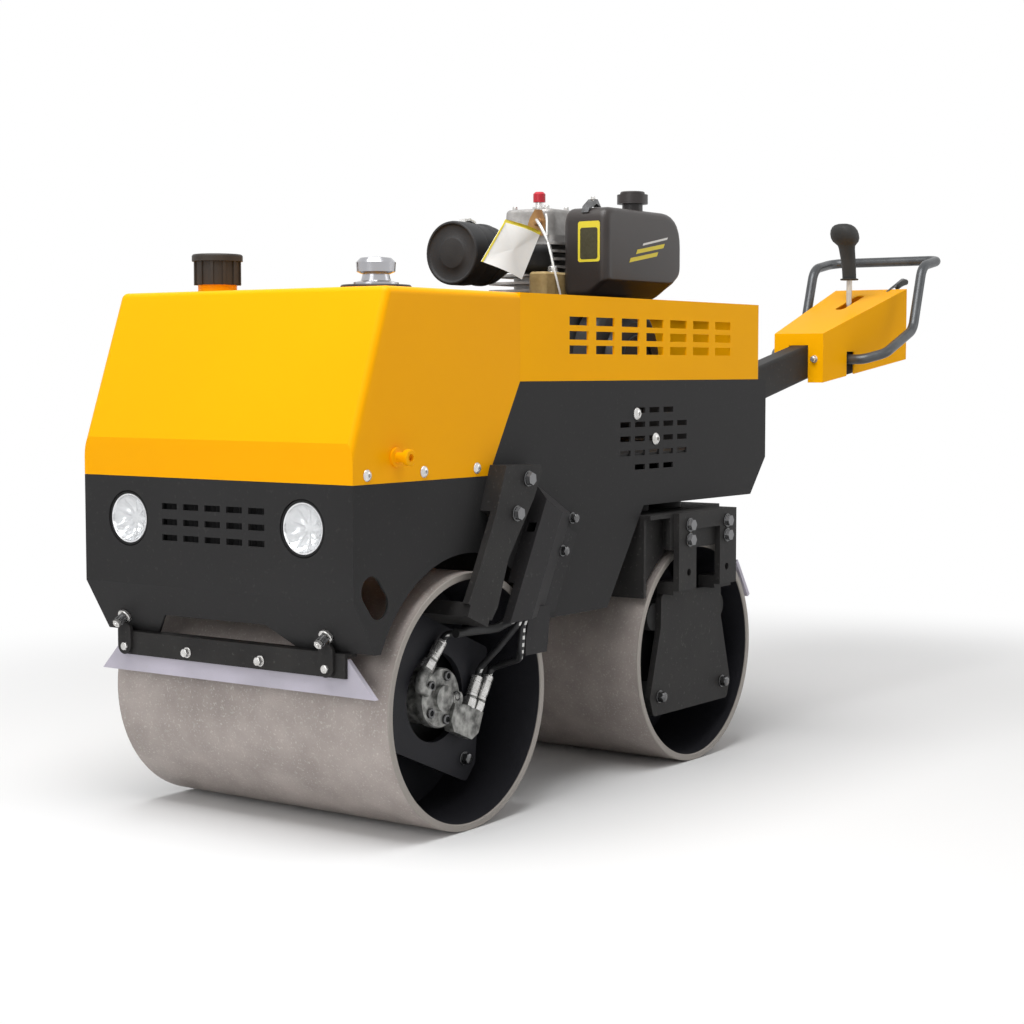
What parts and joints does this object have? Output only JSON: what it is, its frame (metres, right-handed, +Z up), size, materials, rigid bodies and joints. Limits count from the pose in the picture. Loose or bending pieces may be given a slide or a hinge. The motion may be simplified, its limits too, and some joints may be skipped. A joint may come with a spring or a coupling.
{
  "type": "walk-behind road roller",
  "caption": "Walk-behind road roller with two smooth steel drums, a covered body, an open diesel engine and a fold-up operator's handle.",
  "frame": {"origin": "centre of the machine's box, on the ground", "axes": "+Y towards the operator's handle, -Y to the front, +Z up, +X to the machine's left"},
  "size_m": [0.672, 2.498, 1.113],
  "materials": {
    "yellow_paint": "amber yellow gloss paint",
    "black_paint": "charcoal powder coat, satin",
    "frame_paint": "black structural paint, satin",
    "axle_mounts": "black plate with rubber buffers",
    "drum_steel": "worn, speckled rolled steel with bright rims",
    "drum_inside": "dull black paint",
    "motor_iron": "machined grey iron",
    "hose_rubber": "black hydraulic hose with a white lay line",
    "pump_tan": "tan painted casting",
    "blade_white": "lavender-white polyurethane",
    "lamp_glass": "clear faceted lens",
    "cap_plastic": "black moulded plastic",
    "gasket_rubber": "black rubber",
    "cap_chrome": "polished chrome",
    "engine_iron": "black painted castings",
    "engine_alloy": "cast alloy fins",
    "tank_black": "satin black",
    "cleaner_plastic": "matte black plastic",
    "muffler_steel": "heat-dulled steel",
    "valve_red": "red plastic cap",
    "grip_grey": "dark grey metallic paint",
    "lever_steel": "bright plated steel",
    "lever_rubber": "black rubber grip"
  },
  "bodies": {
    "chassis": {"front_hood": "yellow_paint", "engine_guard": "yellow_paint", "side_panel_left": "black_paint", "side_panel_right": "black_paint", "front_panel": "black_paint", "rear_panel": "black_paint", "main_frame": "frame_paint", "front_yoke": "frame_paint", "rear_yoke": "frame_paint", "front_fork_left": "frame_paint", "front_fork_right": "frame_paint", "rear_fork_left": "frame_paint", "rear_fork_right": "frame_paint", "front_hanger_left": "frame_paint", "front_hanger_right": "frame_paint", "rear_hanger_left": "frame_paint", "rear_hanger_right": "frame_paint", "side_bracket_left": "frame_paint", "side_bracket_right": "frame_paint", "front_scraper_bar": "frame_paint", "rear_scraper_bar": "frame_paint", "handle_bracket": "frame_paint", "front_axle_mount_left": "axle_mounts", "front_axle_mount_right": "axle_mounts", "rear_axle_mount_left": "axle_mounts", "rear_axle_mount_right": "axle_mounts", "drive_motor": "motor_iron", "drain_hose": "hose_rubber", "pressure_hose": "hose_rubber", "return_hose": "hose_rubber", "injection_pump": "pump_tan", "front_scraper_blade": "blade_white", "rear_scraper_blade": "blade_white", "headlamp_left": "lamp_glass", "headlamp_right": "lamp_glass", "filler_cap": "cap_plastic", "fuel_cap": "cap_plastic", "cap_gasket": "gasket_rubber", "breather_cap": "cap_chrome", "engine_block": "engine_iron", "fan_housing": "engine_iron", "engine_cylinder": "engine_alloy", "fuel_tank": "tank_black", "air_cleaner": "cleaner_plastic", "muffler": "muffler_steel", "decompression_valve": "valve_red"},
    "handle": {"handle_beam": "frame_paint", "control_box": "yellow_paint", "grip_bar": "grip_grey", "drive_lever": "lever_steel", "lever_grip": "lever_rubber", "throttle_lever": "lever_steel"},
    "front_drum": {"front_drum_shell": "drum_steel", "front_drum_hub": "drum_inside"},
    "rear_drum": {"rear_drum_shell": "drum_steel", "rear_drum_hub": "drum_inside"}
  },
  "joints": [
    {"name": "front_drum_roll", "type": "hinge", "parent": "chassis", "child": "front_drum", "pos_m": [0, -0.9635, 0.2125], "axis": [1, 0, 0], "continuous": true},
    {"name": "rear_drum_roll", "type": "hinge", "parent": "chassis", "child": "rear_drum", "pos_m": [0, -0.237, 0.2125], "axis": [1, 0, 0], "continuous": true},
    {"name": "handle_fold", "type": "hinge", "parent": "chassis", "child": "handle", "pos_m": [0, 0.1115, 0.632], "axis": [1, 0, 0], "range_deg": [0, 80]}
  ]
}
